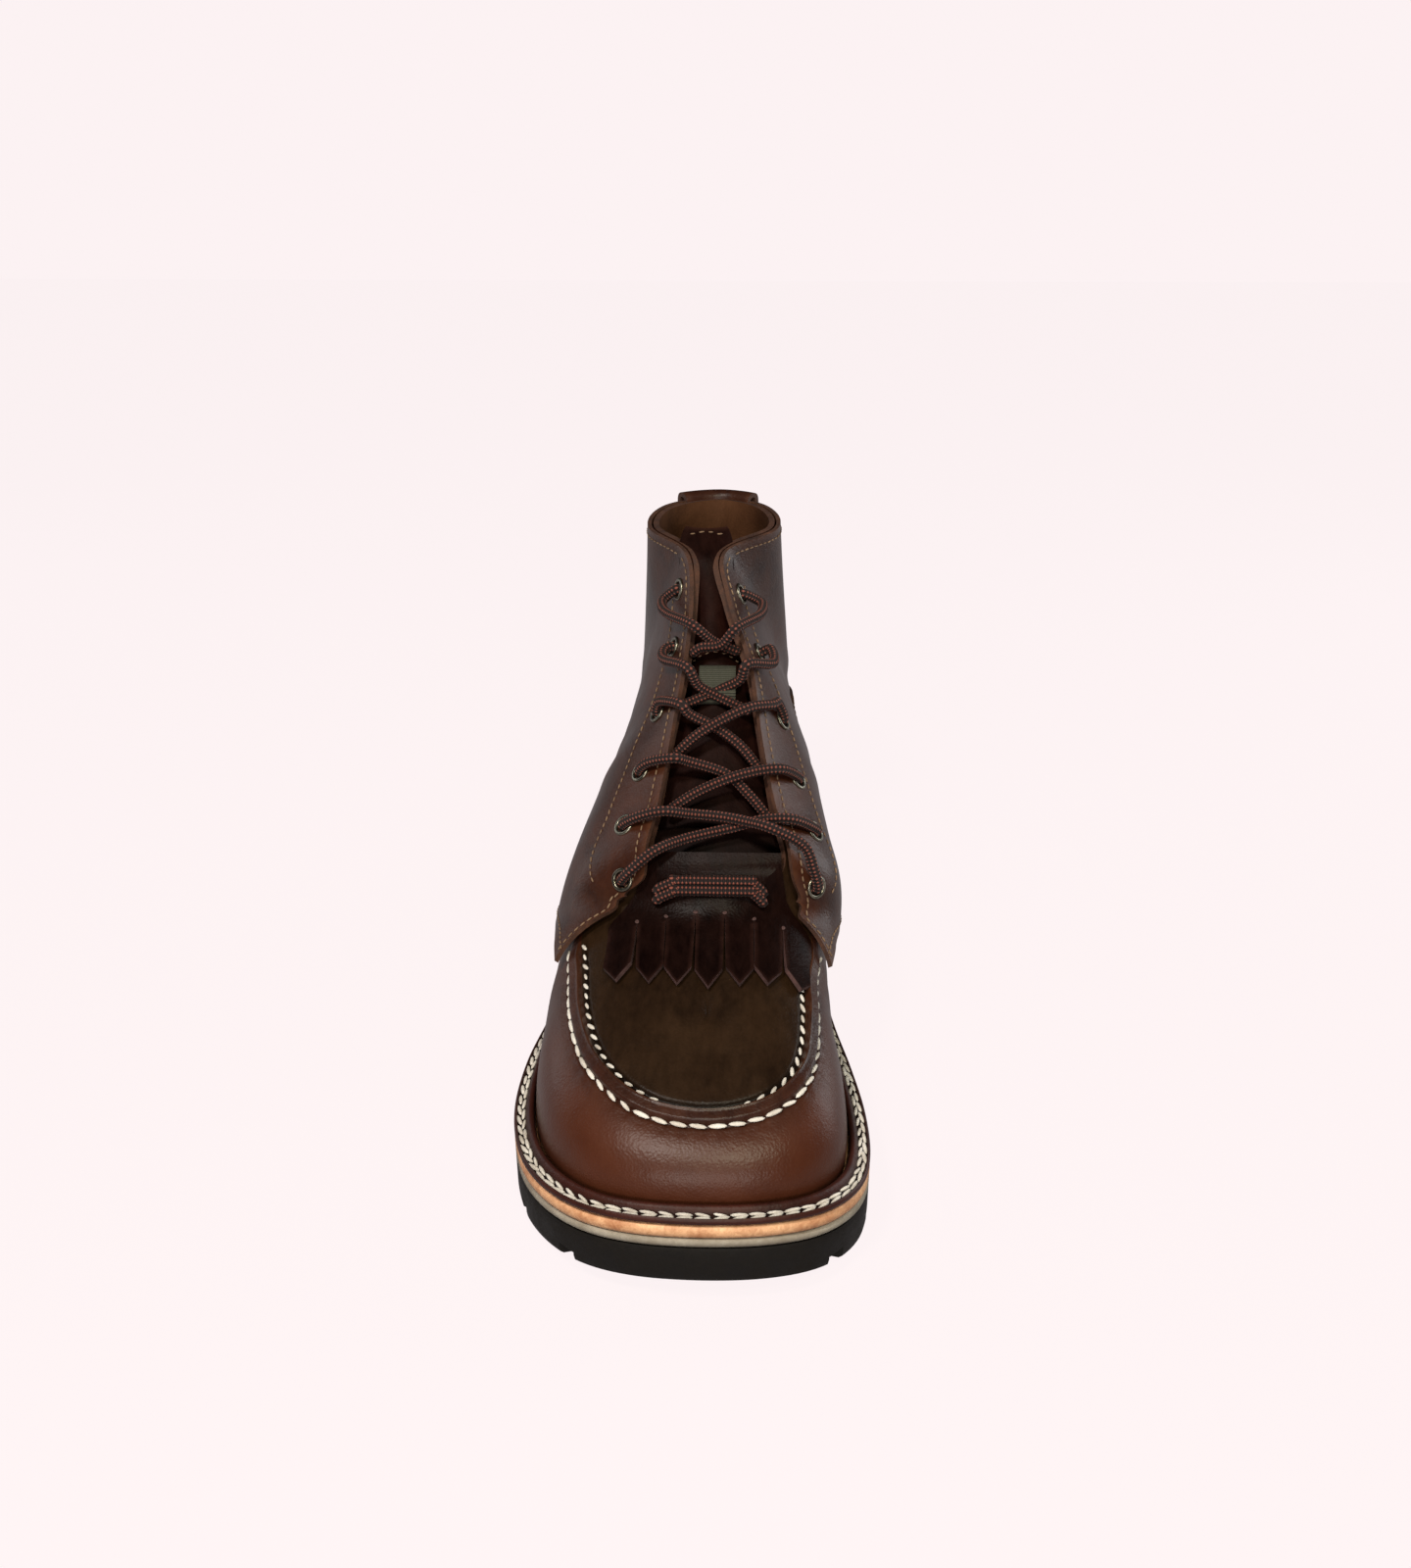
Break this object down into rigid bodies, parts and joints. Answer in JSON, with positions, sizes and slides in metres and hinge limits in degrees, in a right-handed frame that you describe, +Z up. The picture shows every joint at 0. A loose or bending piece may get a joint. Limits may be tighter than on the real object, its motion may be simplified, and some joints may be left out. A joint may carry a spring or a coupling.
{
  "type": "lace-up boot",
  "caption": "Moc-toe lace-up boot with a fringed kiltie, side flaps, eyelets, layered sole and separate heel block.",
  "frame": {"origin": "on the floor, under the middle of the sole's outline", "axes": "+Z up, toe towards -Y, heel towards +Y, medial side towards +X"},
  "size_m": [0.1142, 0.2922, 0.1793],
  "materials": {
    "leather": "oiled, pulled-up",
    "dark_leather": "oiled, dark",
    "tan_leather": "dressed edge",
    "rubber": "matte",
    "grey_rubber": "matte",
    "lace": "round braid",
    "webbing": "plain weave",
    "eyelet": "antique nickel"
  },
  "bodies": {
    "root": {"outsole": "rubber", "heel": "rubber", "slip_layer": "grey_rubber", "midsole": "tan_leather", "welt": "leather", "insole": "tan_leather", "upper": "leather", "quarter_lateral": "leather", "quarter_medial": "leather", "counter": "leather", "backstay": "leather", "pull_tab": "leather", "tongue": "dark_leather", "kiltie": "dark_leather", "tongue_tab": "webbing", "lace_bar": "lace", "lace_cross_1": "lace", "lace_cross_2": "lace", "lace_cross_3": "lace", "lace_cross_4": "lace", "lace_cross_5": "lace", "eyelet_lateral_1": "eyelet", "eyelet_lateral_2": "eyelet", "eyelet_lateral_3": "eyelet", "eyelet_lateral_4": "eyelet", "eyelet_lateral_5": "eyelet", "eyelet_lateral_6": "eyelet", "eyelet_medial_1": "eyelet", "eyelet_medial_2": "eyelet", "eyelet_medial_3": "eyelet", "eyelet_medial_4": "eyelet", "eyelet_medial_5": "eyelet", "eyelet_medial_6": "eyelet"}
  },
  "joints": []
}
